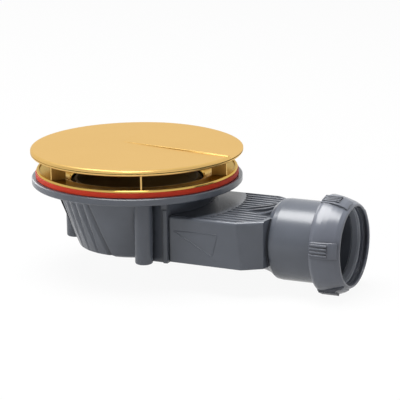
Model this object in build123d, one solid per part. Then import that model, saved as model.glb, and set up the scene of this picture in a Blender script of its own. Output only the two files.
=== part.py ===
from build123d import *
import os
from math import cos, sin, radians

# Low shower trap for a tray with a 90 mm waste hole.
# Millimetres, +Z up. The origin is on the waste axis, at the clamp plane:
# the underside of the clamp flange, which presses on the top of the gasket.
# The outlet runs along +X.

# Tray hole, from which the round pieces take their radii
HOLE_R = 45.0
FIT = 0.25                       # running clearance between pieces
WALL = 2.0                       # wall of the bowl and the chamber

# Cover
COVER_OVERHANG = 3.1             # past the clamp flange
COVER_T = 3.25
COVER_ROUND = 1.3
INLET_H = 9.6                    # underside of the cover above the clamp plane
STEP_INNER = (-12.6, 6.6)        # inner end of the step on the top
STEP_ANGLE = -8.8                # direction of the step in plan, degrees
STEP_DROP = 1.6                  # fall of the low sector at the rim
STEP_LIP_R, STEP_LIP_H = 1.3, 0.42
LEG_COUNT = 6
LEG_FIRST = -1.6
LEG_T = 0.85
UNDERCUT_H = 0.45
UNDERCUT_Z = 2.15                # below the top

# Clamp flange
FLANGE_LAP = 9.8                 # past the tray hole
LIP_TOP = 1.4
LIP_W = 1.9
FLOOR_Z = 0.8
FUNNEL_DEPTH = 4.2
SPIGOT_PLAY = 1.4                # spigot inside the tray hole
SPIGOT_DEPTH = 2.3
THROAT_WALL = 1.4
LEDGE_DEPTH = 9.0
LEDGE_T = 1.5
LEDGE_W = 2.4

# Gasket
GASKET_PROUD = 0.5               # past the clamp flange
GASKET_T = 2.85

# Clamp screws
SCREW_ANGLES = (60, 180, 300)
SCREW_INSET = 5.0                # screw circle inside the tray hole
SCREW_R = 1.75
SCREW_HEAD_R = 2.8
SCREW_HEAD_H = 1.9
SCREW_SEAT = 3.4                 # below the clamp plane
SCREW_L = 23.6
PAD_WALL = 0.35

# Bowl
RIM_PROUD = 2.1                  # past the gasket
RIM_T = 3.75
BOWL_DEPTH = 41.7
BOWL_TAPER = 14.0
BOSS_R_TOP, BOSS_R_END = 5.1, 4.8
BOSS_SHIFT = (2.6, -1.1, 2.6)    # boss centres outside the screw circle
FLUTE_COUNT = 5                  # on each side
FLUTE_R_TOP, FLUTE_R_END = 3.8, 6.9
FLUTE_SINK = 0.2                 # crests below the wall's skin
FLUTE_RECESS = 1.1               # bottoms of the channels below it
FLUTE_LIFT = 0.7                 # flutes end above the bowl's underside
FLUTE_CHANNEL = 1.3
FLUTE_TOP_FIRST, FLUTE_TOP_STEP = -104.6, -7.1
FLUTE_END_FIRST, FLUTE_END_STEP = -99.0, -13.7

# Outlet chamber and the bulkhead where the bowl meets it
BOX_HALF = 31.0
BOX_H = 25.1
BOX_LIFT = 0.7                   # chamber above the bowl's underside
BOX_FALL = 0.6                   # fall of the chamber's floor towards the outlet
SEAM_W, SEAM_DEPTH = 0.7, 0.8    # weld seam round the chamber at the bulkhead
ROOF_T = 3.5
BULK_T = 3.7
BULK_LINE_H = 3.3                # line on the bulkhead's edge, above the chamber
CHEEK_L = 10.0                   # cheeks in front of the bulkhead
WEIR_T = 2.3
WEIR_H = 16.0
PASS_MARGIN = 2.5
CHAMBER_L = 56.4
TAPER_TOP, TAPER_FLOOR = 17.7, 14.4          # where the sides turn in, before the socket
TAPER_END, TAPER_END_PROUD = 4.7, 1.8        # end of the taper, and how far it stands outside the socket
BOX_END_L, BOX_END_SINK = 1.0, 6.0           # end face of the box, and its depth inside the socket's skin
BOX_NOSE, BOX_NOSE_SINK = 1.6, 7.9           # end of the box inside the socket
NECK_BACK = (46.0, 11.9, 9.0, 5.9, 4.3, 2.7) # cone and shoulder, distances before the socket
NECK_DROP = (11.2, 4.5, 3.8, 2.7, 1.4, 0.3)  # and depths below the socket's skin
BORE_BACK = (30.0, 11.9, 5.9)
BORE_DROP = (11.6, 8.1, 6.3)
CORNER_ROUND = 3.0
EDGE_ROUND = 1.6
GROOVE_COUNT = 14
GROOVE_DEPTH = 1.5
GROOVE_TOP_W, GROOVE_FLOOR_W = 2.9, 1.5
GROOVE_MARGIN = 2.0
GROOVE_GAP = 1.8                 # arc of the grooves outside the bowl's rim

# Outlet socket, nut and seal, on an axis along +X
AXIS_H = 10.3                    # above the chamber's underside
PIPE_R = 20.3                    # socket bore, for a 40 mm pipe
SOCKET_WALL = 1.6
SOCKET_DEPTH = 24.0
STOP_STEP = 1.7
STOP_L = 5.6
THREAD_H = 1.5
THREAD_L = 7.5
SEAL_BEVEL = 2.0
SEAL_OUT = 1.5
SEAL_PLAY = 0.12
WASHER_T = 1.5
WASHER_PLAY = 0.35
NUT_WALL = 2.7
NUT_SKIRT = 0.9                  # nut behind the thread
NUT_FRONT = 5.0                  # nut in front of the washer
NUT_MOUTH_PLAY = 0.65
NUT_LIP_T = 1.3
PAD_COUNT = 5
PAD_FIRST = 11.5                 # degrees from the top towards -Y
PAD_WIDTH = 18.5
PAD_H = 0.35
TOOTH_H = 0.25
TOOTH_W = 0.9
TOOTH_RUN = 0.66                 # share of the nut's length

# Removable trap insert
INSERT_TUBE_R = 22.0
INSERT_WALL = 1.6
INSERT_CLEAR = 3.0               # tube above the bowl's floor
INSERT_RIM_T = 1.6
INSERT_FUNNEL = 7.1
ORING_R = 0.88
ORING_PLAY = 0.02

# Radii about the waste axis
FLANGE_R = HOLE_R + FLANGE_LAP
COVER_R = FLANGE_R + COVER_OVERHANG
GASKET_R = FLANGE_R + GASKET_PROUD
RIM_R = GASKET_R + RIM_PROUD
SPIGOT_R = HOLE_R - SPIGOT_PLAY
FLOOR_R_IN = HOLE_R + 0.6
SCREW_PCR = HOLE_R - SCREW_INSET
POCKET_R = SCREW_HEAD_R + FIT
PAD_R = POCKET_R + PAD_WALL
THROAT_R = SCREW_PCR - PAD_R - 0.6
LEDGE_R = THROAT_R - LEDGE_W
BOWL_R_TOP = HOLE_R + 1.0
BOWL_R_BOTTOM = BOWL_R_TOP - BOWL_TAPER

# Heights
COVER_TOP = INLET_H + COVER_T
RIM_BOTTOM = -GASKET_T - RIM_T
BOSS_TOP = RIM_BOTTOM + 0.2
SEAT_Z = -SCREW_SEAT
TIP_Z = SEAT_Z - SCREW_L
LEDGE_TOP = -LEDGE_DEPTH
BOWL_BOTTOM = -BOWL_DEPTH
BOWL_FLOOR = BOWL_BOTTOM + WALL
BOX_BOTTOM = BOWL_BOTTOM + BOX_LIFT
BOX_FLOOR = BOX_BOTTOM + WALL
BOX_TOP = BOX_BOTTOM + BOX_H
PASS_TOP = BOX_TOP - ROOF_T
WEIR_TOP = BOX_BOTTOM + WEIR_H
AXIS_Z = BOX_BOTTOM + AXIS_H

# Places along the outlet
BULK_X1 = BOWL_R_BOTTOM + 1.0
BULK_X0 = BULK_X1 - BULK_T
CHEEK_X0 = BULK_X1 - CHEEK_L
CHEEK_HALF = BOX_HALF + 0.3
PASS_HALF = BOX_HALF - PASS_MARGIN
SOCKET_X0 = BULK_X1 + CHAMBER_L
STOP_X = SOCKET_X0 + STOP_L
SOCKET_END = STOP_X + SOCKET_DEPTH
THREAD_X0 = SOCKET_END - THREAD_L
SEAL_X0 = SOCKET_END - SEAL_BEVEL
SEAL_X1 = SOCKET_END + SEAL_OUT
WASHER_X1 = SEAL_X1 + WASHER_T
NUT_X0 = THREAD_X0 - NUT_SKIRT
NUT_X1 = WASHER_X1 + NUT_FRONT

# Radii about the outlet axis
SOCKET_R = PIPE_R + SOCKET_WALL
THREAD_R = SOCKET_R + THREAD_H
STOP_R = PIPE_R - STOP_STEP
NUT_BORE_R = THREAD_R + FIT
NUT_R = NUT_BORE_R + NUT_WALL
NUT_LIP_R = PIPE_R + NUT_MOUTH_PLAY
NUT_MOUTH_R = NUT_LIP_R + NUT_LIP_T

FAR = 3 * HOLE_R                 # reach of cutting tools

os.makedirs("parts", exist_ok=True)


def turned(points):
    """Solid of revolution about the waste axis, from (radius, height) points."""
    return revolve(make_face(Plane.XZ * Polyline(*points, close=True)), Axis.Z)


def turned_x(points):
    """Solid of revolution about the outlet axis, from (x, radius) points."""
    face = make_face(Plane.XZ * Polyline(*[(x, AXIS_Z + r) for x, r in points], close=True))
    return revolve(face, Axis((0, 0, AXIS_Z), (1, 0, 0)))


def block(x0, x1, y0, y1, z0, z1):
    """Box between two opposite corners."""
    return Pos((x0 + x1) / 2, (y0 + y1) / 2, (z0 + z1) / 2) * Box(x1 - x0, y1 - y0, z1 - z0)


def polar(radius, angle, z=0.0):
    """Point at a radius and angle about the waste axis."""
    return (radius * cos(radians(angle)), radius * sin(radians(angle)), z)


def rod(radius, x, y, z0, z1):
    """Upright cylinder between two heights."""
    return Pos(x, y, (z0 + z1) / 2) * Cylinder(radius, z1 - z0)


def bar(p, q, radius):
    """Round bar from p to q."""
    p, q = Vector(*p), Vector(*q)
    return Solid.make_cylinder(radius, (q - p).length, Plane(origin=p, z_dir=(q - p)))


def prism(points, z0, z1):
    """Upright prism on a plan outline."""
    face = make_face(Pos(0, 0, z0) * Polyline(*points, close=True))
    return extrude(face, z1 - z0, dir=(0, 0, 1))


def rim_edges(shape, which):
    """Round edges of a shape at its lowest (0) or highest (-1) level."""
    return shape.edges().filter_by(GeomType.CIRCLE).group_by(Axis.Z)[which]


def save(shape, name, colour):
    """Write one node, and say what it holds."""
    solids = shape.solids()
    shape = solids[0] if len(solids) == 1 else Compound(children=list(solids))
    shape.label = name
    shape.color = Color(*colour)
    export_step(shape, f"parts/{name}.step")
    print(name, len(solids), "solid(s)", round(sum(s.volume for s in solids) / 1000, 2), "cm3")


GOLD = (0.86, 0.69, 0.42)
RED = (0.72, 0.16, 0.10)
GREY = (0.34, 0.35, 0.37)
MID_GREY = (0.44, 0.45, 0.47)
DARK = (0.20, 0.20, 0.21)
STEEL = (0.70, 0.70, 0.72)
BLACK = (0.08, 0.08, 0.08)


# Cover: a disc with a rounded rim, a low sector behind a step, and legs under it.
def make_cover():
    disc = turned([(0, INLET_H), (COVER_R - 0.6, INLET_H), (COVER_R - 0.2, INLET_H + 0.4),
                   (COVER_R, INLET_H + 1.0), (COVER_R, COVER_TOP), (0, COVER_TOP)])
    disc = fillet(rim_edges(disc, -1), COVER_ROUND)
    # A raised lip runs along the high side of the step, out to the rim.
    ux, uy, _ = polar(1, STEP_ANGLE)
    side = 0.7 * STEP_LIP_R
    sx, sy = STEP_INNER[0] + side * uy, STEP_INNER[1] - side * ux
    z_lip = COVER_TOP + STEP_LIP_H - STEP_LIP_R
    end = (sx + COVER_R * ux, sy + COVER_R * uy, z_lip)
    lip = bar((sx, sy, z_lip - STEP_LIP_H), end, STEP_LIP_R)
    lip = lip + bar(end, (sx + FAR * ux, sy + FAR * uy, z_lip), STEP_LIP_R)
    disc = disc + (lip & rod(COVER_R - COVER_ROUND / 2, 0, 0, COVER_TOP - COVER_T / 2, COVER_TOP + COVER_T))
    # The low sector: a tilted plane that falls towards the outlet side.
    fall = STEP_DROP / (COVER_R - STEP_INNER[0])
    x0, x1 = STEP_INNER[0], FAR
    slope = make_face(Plane.XZ * Polyline((x0, COVER_TOP), (x1, COVER_TOP - fall * (x1 - x0)),
                                          (x1, COVER_TOP + FAR), (x0, COVER_TOP + FAR), close=True))
    far = (x0 + FAR * ux, STEP_INNER[1] + FAR * uy)
    sector = prism([STEP_INNER, far, (far[0], FAR), (x0, FAR)], COVER_TOP - FAR, COVER_TOP + FAR)
    disc = disc - (extrude(slope, FAR, both=True) & sector)
    # An undercut below the rim that deepens towards the outlet side.
    z0 = COVER_TOP - UNDERCUT_Z
    ring = rod(COVER_R + 5, 0, 0, z0, z0 + UNDERCUT_H)
    disc = disc - (ring - rod(COVER_R - 0.45, -0.45, 0.15, z0 - 1, COVER_TOP))
    legs = []
    for k in range(LEG_COUNT):
        foot = block(FLOOR_R_IN - 0.2, FLANGE_R - LIP_W - 0.2, -LEG_T / 2, LEG_T / 2, FLOOR_Z, INLET_H + 0.5)
        top = block(FLOOR_R_IN - 0.2, FLANGE_R - 0.6, -LEG_T / 2, LEG_T / 2, LIP_TOP + 0.1, INLET_H + 0.5)
        legs.append(Rot(0, 0, LEG_FIRST + k * 360 / LEG_COUNT) * (foot + top))
    return disc + legs


# Clamp flange: a dished ring with a lip, a funnel, a throat and a ledge for the insert.
def make_flange():
    t = THROAT_R + THROAT_WALL
    body = turned([(FLANGE_R, 0), (FLANGE_R, LIP_TOP - 0.5), (FLANGE_R - 0.25, LIP_TOP - 0.12),
                   (FLANGE_R - 0.7, LIP_TOP), (FLANGE_R - LIP_W + 0.5, LIP_TOP), (FLANGE_R - LIP_W, FLOOR_Z),
                   (FLOOR_R_IN, FLOOR_Z), (FLOOR_R_IN - 0.5, FLOOR_Z - 0.6),
                   (THROAT_R + 0.8, -FUNNEL_DEPTH + 0.5), (THROAT_R, -FUNNEL_DEPTH - 0.3),
                   (THROAT_R, LEDGE_TOP), (LEDGE_R, LEDGE_TOP), (LEDGE_R, LEDGE_TOP - LEDGE_T),
                   (t, LEDGE_TOP - LEDGE_T), (t, -FUNNEL_DEPTH - THROAT_WALL), (SPIGOT_R, -SPIGOT_DEPTH),
                   (SPIGOT_R, 0)])
    pads, holes = [], []
    for a in SCREW_ANGLES:
        x, y, _ = polar(SCREW_PCR, a)
        pads.append(rod(PAD_R, x, y, BOSS_TOP, -SPIGOT_DEPTH + 0.4))
        shank = rod(SCREW_R + 0.2, x, y, BOSS_TOP - 1, SEAT_Z + 1)
        holes.append(rod(POCKET_R, x, y, SEAT_Z, LIP_TOP + 1) + shank)
    body = body + pads
    for hole in holes:
        body = body - hole
    return body


# Gasket: a flat ring round the tray hole with softened edges.
def make_gasket():
    r_in, soft = HOLE_R - 0.4, 0.3
    return turned([(r_in, -GASKET_T), (GASKET_R - soft, -GASKET_T), (GASKET_R, -GASKET_T + soft),
                   (GASKET_R, -soft), (GASKET_R - soft, 0), (r_in, 0)])


# Clamp screws: domed heads with a cross recess.
def make_screws():
    screws = []
    top = SEAT_Z + SCREW_HEAD_H
    for a in SCREW_ANGLES:
        x, y, _ = polar(SCREW_PCR, a)
        head = rod(SCREW_HEAD_R, x, y, SEAT_Z, top)
        head = fillet(rim_edges(head, -1), SCREW_HEAD_H / 2)
        slot = block(-0.62 * SCREW_HEAD_R, 0.62 * SCREW_HEAD_R, -0.4, 0.4, top - SCREW_HEAD_H / 2, top + 1)
        cross = slot + Rot(0, 0, 90) * slot
        shank = rod(SCREW_R, x, y, TIP_Z, SEAT_Z + 0.2)
        shank = chamfer(rim_edges(shank, 0), SCREW_R / 2)
        screws.append(head + shank - Pos(x, y, 0) * Rot(0, 0, a) * cross)
    return Compound(children=[s for one in screws for s in one.solids()])


# Bowl: a round rim, a tapered cup with slanting flutes, three screw bosses,
# and flat cheeks that carry the bulkhead and the weir.
def flute_bars(extra):
    """Tapered bars fanned out along the wall on one side of the bowl, thicker by this much."""
    bars = []
    for k in range(FLUTE_COUNT):
        top, end = FLUTE_TOP_FIRST + k * FLUTE_TOP_STEP, FLUTE_END_FIRST + k * FLUTE_END_STEP
        p = Vector(*polar(BOWL_R_TOP - FLUTE_SINK - FLUTE_R_TOP, top, RIM_BOTTOM + 1))
        q = Vector(*polar(BOWL_R_BOTTOM - FLUTE_SINK - FLUTE_R_END, end, BOWL_BOTTOM - 1))
        plane = Plane(origin=p, z_dir=(q - p))
        bars.append(Solid.make_cone(FLUTE_R_TOP + extra, FLUTE_R_END + extra, (q - p).length, plane))
    return bars


def flute_waste():
    """What is cut from the wall on one side: a shallow recess, less the rounded flutes that stay in it."""
    slope = (BOWL_R_TOP - BOWL_R_BOTTOM) / (RIM_BOTTOM - BOWL_BOTTOM)
    end = BOWL_BOTTOM + FLUTE_LIFT
    core = turned([(0, end), (BOWL_R_BOTTOM + slope * FLUTE_LIFT - FLUTE_RECESS, end),
                   (BOWL_R_TOP - FLUTE_RECESS, RIM_BOTTOM), (0, RIM_BOTTOM)])
    band = rod(BOWL_R_TOP + 2, 0, 0, BOWL_BOTTOM - 0.5, RIM_BOTTOM - 0.3) - core
    wide, slim = flute_bars(FLUTE_CHANNEL), flute_bars(0)
    waste = band & (wide[0] + wide[1:])
    below = block(-FAR, FAR, -FAR, FAR, BOWL_BOTTOM - FAR, end)
    return waste - [bar - below for bar in slim]


def make_boss(angle, shift):
    """Tapered screw boss with a rounded foot."""
    x, y, _ = polar(SCREW_PCR + shift, angle)
    height = BOSS_TOP - BOWL_BOTTOM
    boss = Pos(x, y, BOWL_BOTTOM + height / 2) * Cone(BOSS_R_END, BOSS_R_TOP, height)
    return fillet(rim_edges(boss, 0), 1.0)


def make_bowl():
    f, r = RIM_BOTTOM, RIM_R
    shell = turned([(0, BOWL_BOTTOM), (BOWL_R_BOTTOM - 1.0, BOWL_BOTTOM),
                    (BOWL_R_BOTTOM + 0.4, BOWL_BOTTOM + 1.0), (BOWL_R_TOP, f), (r - 0.5, f), (r, f + 0.5),
                    (r, -GASKET_T - 0.5), (r - 0.5, -GASKET_T), (0, -GASKET_T)])
    half = (shell & block(-FAR, FAR, -FAR, 0, -FAR, FAR)) - flute_waste()
    shell = half + mirror(half, about=Plane.XZ)
    # Flat cheeks take the place of the cup's round wall towards the outlet.
    for s in (1, -1):
        y0, y1 = sorted((s * CHEEK_HALF, s * FAR))
        shell = shell - block(CHEEK_X0, BULK_X1, y0, y1, BOWL_BOTTOM - 1, f - WALL)
    shell = shell + block(CHEEK_X0, BULK_X1, -CHEEK_HALF, CHEEK_HALF, BOWL_BOTTOM, f - WALL / 2)
    line = BOX_TOP + BULK_LINE_H
    shell = shell + block(BULK_X0 + 1.3, BULK_X1, -BOX_HALF - 1.7, BOX_HALF + 1.7, BOWL_BOTTOM, line)
    shell = shell + block(BULK_X0, BULK_X1, -BOX_HALF - 1.3, BOX_HALF + 1.3, line, f - WALL / 2)
    for a, shift in zip(SCREW_ANGLES, BOSS_SHIFT):
        web = block(BOWL_R_BOTTOM - 1.5, SCREW_PCR + shift, -1.4, 1.4, BOWL_BOTTOM + 0.6, f - WALL / 2)
        shell = shell + Rot(0, 0, a) * web
    # Inside of the cup, held back from the cheeks and from the chamber.
    slope = (BOWL_R_TOP - BOWL_R_BOTTOM) / (f - BOWL_BOTTOM)
    r_top, r_floor = BOWL_R_TOP - WALL, BOWL_R_BOTTOM + slope * WALL - WALL
    half = CHEEK_HALF - WALL
    cup = turned([(0, BOWL_FLOOR), (r_floor, BOWL_FLOOR), (r_top, f), (0, f)])
    for s in (1, -1):
        y0, y1 = sorted((s * half, s * FAR))
        cup = cup - block(CHEEK_X0 - WALL, FAR, y0, y1, BOWL_BOTTOM, f + 1)
    cup = cup - block(BULK_X0 - WEIR_T, FAR, -FAR, FAR, BOWL_BOTTOM, BOX_TOP + WALL)
    shell = shell - cup
    shell = shell - rod(r_top, 0, 0, f - 0.01, FAR)
    # The space before the weir, the way over it and the mouth of the chamber.
    shell = shell - block(CHEEK_X0 + WALL, BULK_X0 - WEIR_T, -half, half, BOWL_FLOOR, f - WALL)
    shell = shell - block(BULK_X0 - WEIR_T - 1, BULK_X1 + 1, -PASS_HALF, PASS_HALF, WEIR_TOP, PASS_TOP)
    shell = shell - block(BULK_X0, BULK_X1 + 1, -PASS_HALF, PASS_HALF, BOX_FLOOR, PASS_TOP)
    shell = shell - block(BULK_X1, FAR, -FAR, FAR, BOWL_BOTTOM - 1, BOX_TOP)
    # Room for the clamp flange's throat, which the bosses keep clear of too.
    throat = rod(THROAT_R + THROAT_WALL + FIT, 0, 0, LEDGE_TOP - LEDGE_T - 0.5, FAR)
    shell = shell - throat
    for a, shift in zip(SCREW_ANGLES, BOSS_SHIFT):
        shell = shell + (make_boss(a, shift) - throat)
    for a in SCREW_ANGLES:
        x, y, _ = polar(SCREW_PCR, a)
        shell = shell - rod(SCREW_R + 0.05, x, y, TIP_Z - 2, FAR)
    return shell


# Outlet chamber: a flat box with a grooved top, which swells into a cone and ends in a round socket.
def chamber_face(taper, inset, z, fall):
    """Plan outline of the chamber at a height, with rounded corners where its sides turn in."""
    half, end = BOX_HALF - inset, SOCKET_R + TAPER_END_PROUD - 0.8 * inset
    x0 = BULK_X1 - inset / 2
    x1, x2 = SOCKET_X0 - taper - 0.6 * inset, SOCKET_X0 - TAPER_END - 0.9 * inset
    side = [(x0, half), (x1, half), (x2, end),
            (x2 + BOX_END_L, SOCKET_R - BOX_END_SINK - 0.8 * inset),
            (SOCKET_X0 + BOX_NOSE - 0.3 * inset, SOCKET_R - BOX_NOSE_SINK - 0.8 * inset)]
    plan = [(x, -y) for x, y in side] + list(reversed(side))
    tilt = fall / CHAMBER_L
    face = make_face(Polyline(*[(x, y, z - tilt * (x - BULK_X1)) for x, y in plan], close=True))
    return fillet([v for v in face.vertices() if abs(v.X - x1) < 0.01], CORNER_ROUND)


def chamber_block(inset, floor, roof):
    """Box with sides that lean a little from its floor to its roof."""
    low = chamber_face(TAPER_FLOOR, inset, floor, BOX_FALL)
    high = chamber_face(TAPER_TOP, inset, roof, 0)
    return loft([low, high], ruled=True)


def neck_points(sink):
    """Profile of the cone and shoulder that grow out of the box along the outlet axis, sunk by this depth."""
    skin = [(SOCKET_X0 - back, SOCKET_R - drop - sink) for back, drop in zip(NECK_BACK, NECK_DROP)]
    return [(skin[0][0], 0)] + skin


def make_chamber():
    x, r = SOCKET_X0, SOCKET_R
    box = chamber_block(0, BOX_BOTTOM, BOX_TOP)
    top = box.edges().group_by(Axis.Z)[-1].filter_by(lambda e: BULK_X1 + 0.1 < e.center().X < x - TAPER_END)
    box = fillet(top, EDGE_ROUND)
    # Cone, shoulder, socket and thread seat are one turned form.
    shell = box + turned_x(neck_points(0) + [(x, r), (THREAD_X0, r), (THREAD_X0 + THREAD_H, THREAD_R),
                                             (SOCKET_END - 0.8, THREAD_R), (SOCKET_END, THREAD_R - 0.8),
                                             (SOCKET_END, 0)])
    # Inside of the box, the cone, the pipe stop and the bore with a seat for the seal.
    shell = shell - chamber_block(WALL, BOX_FLOOR, PASS_TOP)
    bore = [(x - back, r - drop) for back, drop in zip(BORE_BACK, BORE_DROP)]
    shell = shell - turned_x([(bore[0][0], 0)] + bore +
                             [(x, STOP_R), (STOP_X, STOP_R), (STOP_X, PIPE_R), (SEAL_X0, PIPE_R),
                              (SOCKET_END, PIPE_R + SEAL_BEVEL), (NUT_X1, PIPE_R + SEAL_BEVEL), (NUT_X1, 0)])
    # Grooves along the flow follow the box and the cone at one depth. An arc about the waste axis ends them.
    low = BOX_TOP - GROOVE_DEPTH
    sunk = turned_x(neck_points(GROOVE_DEPTH) + [(x, r - GROOVE_DEPTH), (x, 0)])
    sunk = sunk + chamber_block(0, BOX_BOTTOM, low)
    zone = extrude(chamber_face(TAPER_TOP, GROOVE_MARGIN, low - 1, 0), BOX_H, dir=(0, 0, 1))
    zone = zone - rod(RIM_R + GROOVE_GAP, 0, 0, low - 2, FAR)
    zone = zone - block(x - NECK_BACK[3], FAR, -FAR, FAR, low - 2, FAR) - sunk
    pitch = 2 * (BOX_HALF - GROOVE_MARGIN - GROOVE_TOP_W / 2) / (GROOVE_COUNT - 1)
    wide, slim, high = GROOVE_TOP_W / 2, GROOVE_FLOOR_W / 2, BOX_TOP + BOX_H
    grooves = []
    for k in range(GROOVE_COUNT):
        y = (k - (GROOVE_COUNT - 1) / 2) * pitch
        line = Polyline((y - slim, low - 0.3), (y + slim, low - 0.3), (y + wide, BOX_TOP), (y + wide, high),
                        (y - wide, high), (y - wide, BOX_TOP), close=True)
        groove = extrude(make_face(Plane.YZ * line), CHAMBER_L, dir=(1, 0, 0))
        grooves.append(Pos(BULK_X1, 0, 0) * groove & zone)
    shell = shell - grooves
    # Weld seam round the root of the box.
    half, d = BOX_HALF - SEAM_DEPTH, SEAM_DEPTH
    seam = block(BULK_X1 - 1, BULK_X1 + SEAM_W, -FAR, FAR, BOX_BOTTOM - 1, BOX_TOP + 1)
    return shell - (seam - block(BULK_X1 - 2, BULK_X1 + 2, -half, half, BOX_BOTTOM + d, BOX_TOP - d))


# Nut: a domed ring with grip pads, a thin mouth lip and a groove inside it.
def make_nut():
    x0, x1, r = NUT_X0, NUT_X1, NUT_R
    run = x1 - x0
    dome = [(0.03, -0.75), (0.11, -0.1), (0.16, 0.0), (0.33, -0.35), (0.5, -0.95), (0.67, -1.75), (0.85, -2.7)]
    groove = NUT_LIP_R + 0.9
    body = turned_x([(x0, NUT_BORE_R), (x0, r - 1.4)] + [(x0 + t * run, r + d) for t, d in dome] +
                    [(x1 - 0.4, NUT_MOUTH_R + 0.2), (x1, NUT_MOUTH_R - 0.3), (x1, NUT_LIP_R + 0.3),
                     (x1 - 0.6, NUT_LIP_R), (x1 - 1.3, NUT_LIP_R), (x1 - 1.6, groove), (x1 - 3.1, groove),
                     (x1 - 3.4, NUT_LIP_R), (WASHER_X1, NUT_LIP_R), (WASHER_X1, NUT_BORE_R)])
    p = r + PAD_H
    ring = turned_x([(x0 + 0.9, r - 1.9), (x0 + 0.9, p - 0.3), (x0 + 1.6, p), (x0 + 0.5 * run, p - 0.2),
                     (x0 + 0.67 * run, p - 0.75), (x1 - 2.6, p - 1.9), (x1 - 0.9, p - 3.1),
                     (x1 - 0.9, NUT_MOUTH_R - 0.6), (x1 - 2.6, NUT_MOUTH_R - 0.2), (x0 + 0.67 * run, r - 2.5)])
    half = r * sin(radians(PAD_WIDTH / 2))
    pads = []
    for k in range(PAD_COUNT):
        turn = Pos(0, 0, AXIS_Z) * Rot(PAD_FIRST + k * 360 / PAD_COUNT, 0, 0)
        pads.append(ring & turn * block(x0, x1, -half, half, r / 2, 2 * r))
        for s in (-0.62, -0.2, 0.22, 0.64):
            tooth = block(x0 + 1.2, x0 + TOOTH_RUN * run, -TOOTH_W / 2, TOOTH_W / 2, r - 2.0, p + TOOTH_H)
            pads.append(turn * Pos(0, s * half, 0) * tooth)
    return body + pads


# Seal: a wedge ring between the socket's bevel and the washer.
def make_seal():
    r_in, r_out = PIPE_R + SEAL_PLAY, THREAD_R - 0.4
    return turned_x([(SEAL_X0 + 0.35, r_in), (SOCKET_END, PIPE_R + SEAL_BEVEL - 0.23),
                     (SOCKET_END + 0.15, r_out), (SEAL_X1, r_out), (SEAL_X1, r_in)])


def make_washer():
    r_in = PIPE_R + WASHER_PLAY
    return turned_x([(SEAL_X1, r_in), (SEAL_X1, THREAD_R), (WASHER_X1, THREAD_R), (WASHER_X1, r_in)])


# Insert: a rim that sits on the ledge, a ring groove, a funnel, and a tube that dips into the water.
def make_insert():
    ri, ro = INSERT_TUBE_R - INSERT_WALL, INSERT_TUBE_R
    rim, neck = THROAT_R - 0.3, THROAT_R - 2 * (ORING_R + ORING_PLAY)
    step, end = LEDGE_TOP + INSERT_RIM_T, BOWL_FLOOR + INSERT_CLEAR
    low = LEDGE_TOP - INSERT_FUNNEL
    return turned([(rim, LEDGE_TOP), (rim, step), (neck, step), (neck, -FUNNEL_DEPTH - 0.4),
                   (neck - 1.2, -FUNNEL_DEPTH), (neck - 1.7, -FUNNEL_DEPTH - 0.4), (neck - 2.0, LEDGE_TOP),
                   (ri, low), (ri, end), (ro, end), (ro, low - 0.6), (LEDGE_R - 0.4, LEDGE_TOP - 0.6),
                   (LEDGE_R - 0.4, LEDGE_TOP)])


def make_oring():
    half = ORING_R + ORING_PLAY
    return Pos(0, 0, LEDGE_TOP + INSERT_RIM_T + half) * Torus(THROAT_R - half, ORING_R)


save(make_cover(), "cover", GOLD)
save(make_flange(), "clamp_flange", GOLD)
save(make_gasket(), "flange_gasket", RED)
save(make_screws(), "clamp_screws", STEEL)
save(make_bowl(), "trap_bowl", GREY)
save(make_chamber(), "outlet_chamber", GREY)
save(make_insert(), "trap_insert", DARK)
save(make_oring(), "insert_o_ring", BLACK)
save(make_seal(), "outlet_seal", BLACK)
save(make_washer(), "slip_washer", MID_GREY)
save(make_nut(), "outlet_nut", MID_GREY)
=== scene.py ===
# %% [markdown]
# # A low shower trap
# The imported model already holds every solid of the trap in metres: +Z is up along the waste axis and +X runs
# out of the outlet. This lesson dresses those solids: a camera at the photograph's angle, a pale studio,
# one finish for each real material, and a few fine pieces that are too small for the solids.

# %% Load the frame
import bpy
import math
import numpy as np
from mathutils import Matrix, Vector


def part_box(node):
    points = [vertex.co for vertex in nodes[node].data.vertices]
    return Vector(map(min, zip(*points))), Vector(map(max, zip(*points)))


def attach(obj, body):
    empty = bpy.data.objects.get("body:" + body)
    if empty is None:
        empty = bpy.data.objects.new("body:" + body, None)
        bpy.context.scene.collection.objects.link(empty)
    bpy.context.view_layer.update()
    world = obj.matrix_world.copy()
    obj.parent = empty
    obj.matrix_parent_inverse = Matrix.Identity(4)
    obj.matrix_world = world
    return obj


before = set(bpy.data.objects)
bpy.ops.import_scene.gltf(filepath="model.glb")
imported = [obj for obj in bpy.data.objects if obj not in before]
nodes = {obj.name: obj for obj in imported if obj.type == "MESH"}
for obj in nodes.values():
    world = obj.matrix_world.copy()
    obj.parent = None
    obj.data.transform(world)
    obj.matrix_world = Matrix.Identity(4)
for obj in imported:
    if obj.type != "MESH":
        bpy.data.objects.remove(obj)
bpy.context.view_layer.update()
MM = 0.001
print("nodes:", ", ".join(sorted(nodes)))

# %% [markdown]
# ## Colours and nodes
# Colours are written as sRGB hex values, the way a paint card or a picture editor gives them. Blender's shaders
# count light, so each value is turned to linear once, here. One small function adds a node, sets it and links it,
# and every material below is built with it.

# %% Two helpers for the finishes
def linear(hex_colour):
    """sRGB hex to linear RGBA: the lower part is a straight line, the rest a power of 2.4."""
    srgb = np.array([int(hex_colour[i:i + 2], 16) for i in (1, 3, 5)]) / 255.0
    values = np.where(srgb <= 0.04045, srgb / 12.92, ((srgb + 0.055) / 1.055) ** 2.4)
    return (*values.tolist(), 1.0)


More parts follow.
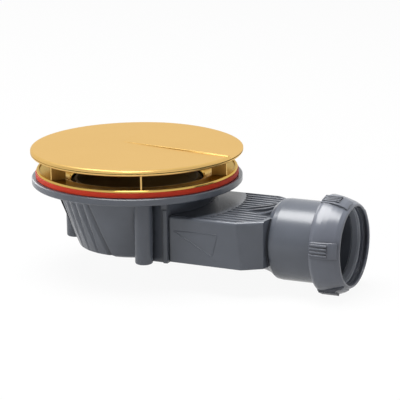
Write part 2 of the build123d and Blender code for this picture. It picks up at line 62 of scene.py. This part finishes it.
def add(tree, kind, settings=None, **inputs):
    """Adds one node. settings are its properties. An input is a value, or an output socket to link from."""
    node = tree.nodes.new(kind)
    for name, value in (settings or {}).items():
        setattr(node, name, value)
    for name, value in inputs.items():
        key = int(name[1:]) if name[0] == "i" and name[1:].isdigit() else name.replace("_", " ")
        socket = node.inputs[key]
        if isinstance(value, bpy.types.NodeSocket):
            tree.links.new(value, socket)
        else:
            socket.default_value = value
    return node


print("gold in linear light:", [round(v, 3) for v in linear("#E2BA70")[:3]])

# %% [markdown]
# ## Camera
# The photograph was taken with a long lens from a little above the cover, turned towards the outlet. Its place was
# found from the round edges: circles of known radius become ellipses, and their widths and tilts give the angles.
# The camera is set from those angles, so it can be checked and changed as plain numbers.

# %% Camera at the photograph's angle
AZIMUTH, ELEVATION, ROLL = math.radians(24.95), math.radians(14.6), math.radians(-0.83)
TARGET = Vector((30.785, 14.32, -18.37)) * MM
DISTANCE = 1371.81 * MM
LENS_MM, SENSOR_MM = 226.0, 36.0

back = Vector((math.sin(AZIMUTH) * math.cos(ELEVATION), -math.cos(AZIMUTH) * math.cos(ELEVATION),
               math.sin(ELEVATION)))
right = Vector((math.cos(AZIMUTH), math.sin(AZIMUTH), 0.0))
up = back.cross(right)
right, up = (right * math.cos(ROLL) + up * math.sin(ROLL), up * math.cos(ROLL) - right * math.sin(ROLL))

camera_data = bpy.data.cameras.new("photo_camera")
camera_data.lens = LENS_MM
camera_data.sensor_width = SENSOR_MM
camera_data.clip_start, camera_data.clip_end = 0.05, 20.0
camera = bpy.data.objects.new("photo_camera", camera_data)
turned = Matrix((right, up, back)).transposed().to_4x4()
camera.matrix_world = Matrix.Translation(TARGET + back * DISTANCE) @ turned
bpy.context.scene.collection.objects.link(camera)
bpy.context.scene.camera = camera
print("camera at", [round(v / MM, 1) for v in camera.location], "mm")

# %% [markdown]
# ## Studio
# A product table is a pale sweep with large soft lamps. The floor lies just under the nut, the lowest piece. Seen by
# the camera and by mirrors it is close to white, and a share of plain diffuse white keeps the shadow. The world is
# white to the camera. Mirrors see the white backdrop behind the trap and a somewhat dimmer room in front of it, as in
# a real studio. Bounced light gets a low, even fill.

# %% Floor
FLOOR_DROP = 0.3 * MM
FLOOR_HALF = 3.0
WHITE_SHARE = 0.93
PAPER = "#C0C0C0"

floor_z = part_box("outlet_nut")[0].z - FLOOR_DROP
square = np.array([(-1, -1, 0), (1, -1, 0), (1, 1, 0), (-1, 1, 0)])
corners = square * (FLOOR_HALF, FLOOR_HALF, 0) + (0, 0, floor_z)
floor_mesh = bpy.data.meshes.new("studio_floor")
floor_mesh.from_pydata(corners.tolist(), [], [(0, 1, 2, 3)])
floor = bpy.data.objects.new("studio_floor", floor_mesh)
bpy.context.scene.collection.objects.link(floor)


def mirror_or_glass(tree):
    """1 for rays that a mirror or glass sends on, 0 for others, and the camera's own rays beside it."""
    path = add(tree, "ShaderNodeLightPath")
    pair = add(tree, "ShaderNodeMath", {"operation": "ADD", "use_clamp": True}, i0=path.outputs["Is Glossy Ray"],
               i1=path.outputs["Is Transmission Ray"])
    return pair.outputs[0], path.outputs["Is Camera Ray"]


floor_paint = bpy.data.materials.new("white_studio_paper")
floor_paint.use_nodes = True
tree = floor_paint.node_tree
tree.nodes.clear()
matt = add(tree, "ShaderNodeBsdfDiffuse", Color=linear(PAPER))
glow = add(tree, "ShaderNodeEmission", Color=linear("#FFFFFF"), Strength=1.0)
mirror_ray, camera_ray = mirror_or_glass(tree)
seen = add(tree, "ShaderNodeMath", {"operation": "ADD", "use_clamp": True}, i0=mirror_ray, i1=camera_ray)
share = add(tree, "ShaderNodeMath", {"operation": "MULTIPLY"}, i0=seen.outputs[0], i1=WHITE_SHARE)
mix = add(tree, "ShaderNodeMixShader", Fac=share.outputs[0], i1=matt.outputs[0], i2=glow.outputs[0])
add(tree, "ShaderNodeOutputMaterial", Surface=mix.outputs[0])
floor_mesh.materials.append(floor_paint)
print("floor at", round(floor_z / MM, 2), "mm")

# %% World
WORLD_FILL = 0.08
ROOM_GLOW = 0.72
ROOM_FADE = (-0.45, 0.35)
BACKDROP = (-math.sin(AZIMUTH), math.cos(AZIMUTH), 0.0)

world = bpy.data.worlds.new("studio_world")
bpy.context.scene.world = world
world.use_nodes = True
tree = world.node_tree
tree.nodes.clear()
looking = add(tree, "ShaderNodeTexCoord").outputs["Generated"]
rearward = add(tree, "ShaderNodeVectorMath", {"operation": "DOT_PRODUCT"}, i0=looking, i1=BACKDROP)
room = add(tree, "ShaderNodeMapRange", {"interpolation_type": "SMOOTHSTEP"}, Value=rearward.outputs["Value"],
           i1=ROOM_FADE[0], i2=ROOM_FADE[1], i3=ROOM_GLOW, i4=1.0)
fill = add(tree, "ShaderNodeBackground", Color=linear("#FFFFFF"), Strength=WORLD_FILL)
studio = add(tree, "ShaderNodeBackground", Color=linear("#FFFFFF"), Strength=room.outputs[0])
white = add(tree, "ShaderNodeBackground", Color=linear("#FFFFFF"), Strength=1.0)
mirror_ray, camera_ray = mirror_or_glass(tree)
bounced = add(tree, "ShaderNodeMixShader", Fac=mirror_ray, i1=fill.outputs[0], i2=studio.outputs[0])
mix = add(tree, "ShaderNodeMixShader", Fac=camera_ray, i1=bounced.outputs[0], i2=white.outputs[0])
add(tree, "ShaderNodeOutputWorld", Surface=mix.outputs[0])
print("backdrop towards", [round(v, 2) for v in BACKDROP])

# %% [markdown]
# ## Lamps
# The plastic shows long highlights, so it needs bright boxes. A flat metal cover would mirror the same boxes and burn
# out to white, seen from above. A photographer would hold up flags to keep them off the metal. Here light linking does
# that: each lamp reaches the pieces of one collection. The metal lives on the room that it mirrors, and on a small box
# and a narrow strip of its own that its rounded edges mirror. From above the cover still comes out very bright.
# Two fill lamps aren't mirrored at all.

# %% Soft lamps
METAL = ("cover", "clamp_flange", "clamp_screws")
metal_pieces = bpy.data.collections.new("metal_pieces")
other_pieces = bpy.data.collections.new("other_pieces")
other_pieces.objects.link(floor)
for name in sorted(nodes):
    (metal_pieces if name in METAL else other_pieces).objects.link(nodes[name])


def soft_lamp(name, reaches, direction, distance, size, watts, mirrored=True):
    """Area lamp of size (wide, high) that stands in a direction from the trap and faces it. A fill isn't mirrored."""
    data = bpy.data.lights.new(name, "AREA")
    data.energy = watts
    data.shape = "RECTANGLE"
    data.size, data.size_y = size
    lamp = bpy.data.objects.new(name, data)
    towards = Vector(direction).normalized()
    lamp.location = TARGET + towards * distance
    lamp.rotation_euler = towards.to_track_quat("Z", "Y").to_euler()
    lamp.visible_glossy = mirrored
    lamp.light_linking.receiver_collection = reaches
    bpy.context.scene.collection.objects.link(lamp)
    print(name, watts, "W on", reaches.name)


soft_lamp("rim_box", metal_pieces, (0.15, -0.57, 0.82), 1.1, (0.5, 0.5), 5.0)
soft_lamp("step_strip", metal_pieces, (-0.41, 0.05, 0.90), 1.1, (1.0, 0.2), 2.6)
soft_lamp("top_box", other_pieces, (-0.10, -0.10, 1.0), 1.1, (0.8, 0.8), 27.0)
soft_lamp("rear_left_box", other_pieces, (-1.0, 0.45, 0.35), 1.2, (0.6, 0.6), 4.0)
soft_lamp("front_fill", other_pieces, (-1.20, -1.0, 0.50), 1.2, (0.4, 0.4), 5.5, mirrored=False)
soft_lamp("outlet_fill", other_pieces, (1.0, -0.22, 0.40), 0.9, (0.3, 0.3), 1.4, mirrored=False)
bpy.context.scene.view_settings.view_transform = "Standard"

# %% [markdown]
# ## Finishes
# Each finish starts from the real material and how its surface was made; the gold and the plastic also carry painted
# shade in gaps and grooves.
# Patterns are sized in millimetres on Object coordinates: a noise texture's scale counts features in one metre, so its
# scale is 1 over the feature size.

# %% Common start of a finish
def per_metre(feature_mm):
    """Noise scale that gives features of this size."""
    return 1.0 / (feature_mm * MM)


def finish(name):
    """Empty material with Object coordinates, a surface shader and an output."""
    material = bpy.data.materials.new(name)
    material.use_nodes = True
    tree = material.node_tree
    tree.nodes.clear()
    place = add(tree, "ShaderNodeTexCoord").outputs["Object"]
    shader = add(tree, "ShaderNodeBsdfPrincipled")
    add(tree, "ShaderNodeOutputMaterial", Surface=shader.outputs[0])
    return material, tree, place, shader


def soft_edges(tree, radius_mm):
    """Normal that turns smoothly round an edge, as on a moulding whose edges are never quite sharp."""
    return add(tree, "ShaderNodeBevel", {"samples": 6}, Radius=radius_mm * MM).outputs[0]


def dress(material, *names):
    """Gives this material to the CAD nodes with these names."""
    for name in names:
        mesh = nodes[name].data
        mesh.materials.clear()
        mesh.materials.append(material)
    print(material.name, "on", ", ".join(names))


# %% Gold plating
# Painted shade: the gold turns this dark olive where little open sky lies within this many millimetres.
GAP_SHADE_MM = 16
PAINTED_GAP_SHADE = "#5E5020"


def gold_plate(name, dark, light, edge, roughness, grain_mm):
    """Gold-coloured plating on plastic: a metal with a warm edge tint, slow clouds and a fine grain.

    Painted shade: in a narrow gap the colour turns dark olive, and how much sky a point sees says where.
    """
    material, tree, place, shader = finish(name)
    cloud = add(tree, "ShaderNodeTexNoise", Vector=place, Scale=per_metre(30), Detail=3.0)
    tint = add(tree, "ShaderNodeValToRGB", Fac=cloud.outputs["Fac"])
    tint.color_ramp.elements[0].color = linear(dark)
    tint.color_ramp.elements[1].color = linear(light)
    # Painted shade: little open sky nearby mixes the gold towards dark olive.
    open_sky = add(tree, "ShaderNodeAmbientOcclusion", {"samples": 8}, Distance=GAP_SHADE_MM * MM)
    gap_shade_amount = add(tree, "ShaderNodeMapRange", Value=open_sky.outputs["AO"], i1=0.15, i2=0.60)
    tint_with_gap_shade = add(tree, "ShaderNodeMix", {"data_type": "RGBA"}, i0=gap_shade_amount.outputs[0], i6=linear(PAINTED_GAP_SHADE),
                i7=tint.outputs[0])
    tree.links.new(tint_with_gap_shade.outputs[2], shader.inputs["Base Color"])
    grain = add(tree, "ShaderNodeTexNoise", Vector=place, Scale=per_metre(grain_mm), Detail=4.0)
    rough = add(tree, "ShaderNodeMapRange", Value=grain.outputs["Fac"], i3=roughness - 0.05, i4=roughness + 0.05)
    tree.links.new(rough.outputs[0], shader.inputs["Roughness"])
    bump = add(tree, "ShaderNodeBump", Height=grain.outputs["Fac"], Normal=soft_edges(tree, 0.3), Strength=0.05,
               Distance=0.05 * MM)
    tree.links.new(bump.outputs[0], shader.inputs["Normal"])
    shader.inputs["Metallic"].default_value = 1.0
    shader.inputs["Specular Tint"].default_value = linear(edge)
    return material


dress(gold_plate("satin_gold_plated_abs", "#E2BA70", "#E8C179", "#FFF2D6", 0.33, 0.5), "cover")
dress(gold_plate("polished_gold_plated_abs", "#C9A658", "#D0AE61", "#FFEEC8", 0.16, 0.5), "clamp_flange")


# %% Moulded polypropylene
# Painted shade: grooves and recesses within this many millimetres get a darker colour.
GROOVE_SHADE_MM = 2.5


def polypropylene(name, dark, light, roughness, gloss=0.5):
    """Moulded plastic: slow flow clouds in the colour, painted shade in grooves, and a fine spark-eroded grain from
    the mould.
    """
    material, tree, place, shader = finish(name)
    flow = add(tree, "ShaderNodeTexNoise", Vector=place, Scale=per_metre(22), Detail=3.0)
    tint = add(tree, "ShaderNodeValToRGB", Fac=flow.outputs["Fac"])
    tint.color_ramp.elements[0].position = 0.3
    tint.color_ramp.elements[1].position = 0.7
    tint.color_ramp.elements[0].color = linear(dark)
    tint.color_ramp.elements[1].color = linear(light)
    # Painted shade: the colour darkens down to 45 per cent in grooves and recesses with little open sky close by.
    open_sky = add(tree, "ShaderNodeAmbientOcclusion", {"samples": 8, "only_local": True}, Distance=GROOVE_SHADE_MM * MM)
    groove_shade = add(tree, "ShaderNodeMapRange", Value=open_sky.outputs["AO"], i1=0.35, i2=0.95, i3=0.45, i4=1.0)
    shade = add(tree, "ShaderNodeVectorMath", {"operation": "SCALE"}, i0=tint.outputs[0], Scale=groove_shade.outputs[0])
    tree.links.new(shade.outputs[0], shader.inputs["Base Color"])
    grain = add(tree, "ShaderNodeTexNoise", Vector=place, Scale=per_metre(0.45), Detail=3.0)
    rough = add(tree, "ShaderNodeMapRange", Value=grain.outputs["Fac"], i3=roughness - 0.03, i4=roughness + 0.03)
    tree.links.new(rough.outputs[0], shader.inputs["Roughness"])
    bump = add(tree, "ShaderNodeBump", Height=grain.outputs["Fac"], Normal=soft_edges(tree, 0.6), Strength=0.05,
               Distance=0.06 * MM)
    tree.links.new(bump.outputs[0], shader.inputs["Normal"])
    shader.inputs["IOR"].default_value = 1.49
    shader.inputs["Specular IOR Level"].default_value = gloss
    return material


dress(polypropylene("anthracite_polypropylene", "#4B4F57", "#52565E", 0.235), "trap_bowl", "outlet_chamber")
dress(polypropylene("grey_polypropylene_nut", "#555861", "#5C6069", 0.235), "outlet_nut")
dress(polypropylene("pale_grey_polypropylene", "#A0A4AC", "#A8ACB4", 0.40), "slip_washer")
dress(polypropylene("brown_polypropylene", "#6A5836", "#746040", 0.60, 0.15), "trap_insert")


# %% Rubber
def rubber(name, dark, light, roughness):
    """Moulded rubber: matt, with a slow bloom in its colour and a fine dull grain."""
    material, tree, place, shader = finish(name)
    bloom = add(tree, "ShaderNodeTexNoise", Vector=place, Scale=per_metre(9), Detail=4.0)
    tint = add(tree, "ShaderNodeValToRGB", Fac=bloom.outputs["Fac"])
    tint.color_ramp.elements[0].color = linear(dark)
    tint.color_ramp.elements[1].color = linear(light)
    tree.links.new(tint.outputs[0], shader.inputs["Base Color"])
    grain = add(tree, "ShaderNodeTexNoise", Vector=place, Scale=per_metre(0.6), Detail=2.0)
    bump = add(tree, "ShaderNodeBump", Height=grain.outputs["Fac"], Normal=soft_edges(tree, 0.4), Strength=0.15,
               Distance=0.05 * MM)
    tree.links.new(bump.outputs[0], shader.inputs["Normal"])
    shader.inputs["Roughness"].default_value = roughness
    shader.inputs["IOR"].default_value = 1.41
    return material


dress(rubber("red_silicone_rubber", "#B62A10", "#C23415", 0.62), "flange_gasket")
dress(rubber("black_nitrile_rubber", "#1B1B1C", "#242425", 0.6), "insert_o_ring")
dress(rubber("grey_nitrile_rubber", "#868A93", "#8E929B", 0.50), "outlet_seal")

# %% Stainless steel
material, tree, place, shader = finish("plain_stainless_steel")
grain = add(tree, "ShaderNodeTexNoise", Vector=place, Scale=per_metre(0.4), Detail=2.0)
rough = add(tree, "ShaderNodeMapRange", Value=grain.outputs["Fac"], i3=0.18, i4=0.26)
tree.links.new(rough.outputs[0], shader.inputs["Roughness"])
shader.inputs["Base Color"].default_value = linear("#C9C9C8")
shader.inputs["Metallic"].default_value = 1.0
dress(material, "clamp_screws")

# %% [markdown]
# ## Fine beads
# Two kinds of raised line are too fine for the solids. The chamber's sides carry a plain wedge, a moulded line that
# shows the fall towards the outlet. The step on the cover ends in a satin bead, which catches the light as one
# bright line.
# A curve object with a bevel could draw both. Here each is a closed tube worked out as arrays: an ellipse carried
# along a path, half sunk in the surface under it.

# %% Path and bead
def rounded_loop(corners, cut, steps=7):
    """Closed path. Round each corner c from a to b: (1-t)^2 a + 2t(1-t) c + t^2 b, with a and b one cut away."""
    c = np.array(corners, float)
    ahead, behind = np.roll(c, -1, 0) - c, np.roll(c, 1, 0) - c
    b = c + cut * ahead / np.linalg.norm(ahead, axis=1, keepdims=True)
    a = c + cut * behind / np.linalg.norm(behind, axis=1, keepdims=True)
    t = np.linspace(0.0, 1.0, steps)[None, :, None]
    return ((1 - t) ** 2 * a[:, None] + 2 * t * (1 - t) * c[:, None] + t ** 2 * b[:, None]).reshape(-1, 3)


def bead(name, path, out, width, height, loop, steps=12):
    """Tube: point (u, v) = path(u) + width/2 cos v side(u) + height sin v out, with side = along x out.

    A loop joins its ends. An open bead thins out as the square root of sin(pi u) and closes in a point at each end.
    """
    out = np.array(out, float)
    along = np.roll(path, -1, 0) - np.roll(path, 1, 0) if loop else np.gradient(path, axis=0)
    side = np.cross(along, out)
    side /= np.linalg.norm(side, axis=1, keepdims=True)
    thin = np.ones(len(path)) if loop else np.sqrt(np.sin(np.pi * np.linspace(0.004, 0.996, len(path))))
    v = np.linspace(0.0, 2 * np.pi, steps, endpoint=False)[None, :, None]
    ring = width / 2 * np.cos(v) * side[:, None] + height * np.sin(v) * out
    points = (path[:, None] + thin[:, None, None] * ring).reshape(-1, 3)
    index = np.arange(len(path) * steps).reshape(-1, steps)
    turn = np.roll(index, -1, 1)
    quads = np.stack([index, np.roll(index, -1, 0), np.roll(turn, -1, 0), turn], axis=-1)
    faces = (quads if loop else quads[:-1]).reshape(-1, 4).tolist()
    if not loop:
        tips = np.array([len(points), len(points) + 1])
        points = np.vstack([points, path[:1], path[-1:]])
        faces += np.stack([index[0], turn[0], np.full(steps, tips[0])], axis=-1).tolist()
        faces += np.stack([turn[-1], index[-1], np.full(steps, tips[1])], axis=-1).tolist()
    mesh = bpy.data.meshes.new(name)
    mesh.from_pydata((points * MM).tolist(), [], faces)
    mesh.polygons.foreach_set("use_smooth", np.ones(len(faces), bool))
    piece = bpy.data.objects.new(name, mesh)
    bpy.context.scene.collection.objects.link(piece)
    return piece


def hand_over(piece, material, lamps):
    """Gives a bead its finish, its lamps and its body."""
    piece.data.materials.append(bpy.data.materials[material])
    lamps.objects.link(piece)
    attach(piece, "root")
    print(piece.name, "with", len(piece.data.polygons), "faces")


# %% Wedges on both sides of the chamber
MARK_CORNERS = ((36.0, -23.8), (61.5, -23.4), (58.2, -35.9))
MARK_CUT, MARK_WIDTH, MARK_HEIGHT = 1.2, 0.55, 0.16

side_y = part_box("outlet_chamber")[1].y / MM
for word, way in (("front", -1), ("rear", 1)):
    wedge = rounded_loop([(x, way * side_y, z) for x, z in MARK_CORNERS], MARK_CUT)
    mark = bead("fall_mark_" + word, wedge, (0, way, 0), MARK_WIDTH, MARK_HEIGHT, loop=True)
    hand_over(mark, "anthracite_polypropylene", other_pieces)

# %% Bead on the step of the cover
STEP_INNER = np.array([-12.6, 6.6])
STEP_ANGLE = math.radians(-8.8)
LIP_RADIUS, LIP_RISE = 1.3, 0.42
LIP_SHARE = 0.7
RIM_MARGIN = 1.6
BEAD_START, BEAD_POINTS = 1.0, 90
BEAD_WIDTH, BEAD_HEIGHT, BEAD_SINK = 1.6, 0.36, 0.06

cover_r, lip_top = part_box("cover")[1].x / MM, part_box("cover")[1].z / MM
outward = np.array([math.cos(STEP_ANGLE), math.sin(STEP_ANGLE)])
start = STEP_INNER + LIP_SHARE * LIP_RADIUS * np.array([outward[1], -outward[0]])
inner_run = start @ outward
full_run = -inner_run + math.sqrt(inner_run ** 2 - start @ start + (cover_r - RIM_MARGIN) ** 2)
run = np.linspace(BEAD_START, full_run, BEAD_POINTS)
crest = lip_top - LIP_RISE * (1 - run / run[-1])
line = np.column_stack([start[0] + run * outward[0], start[1] + run * outward[1], crest - BEAD_SINK])
step_bead = bead("step_bead", line, (0, 0, 1), BEAD_WIDTH, BEAD_HEIGHT, loop=False)
hand_over(step_bead, "satin_gold_plated_abs", metal_pieces)
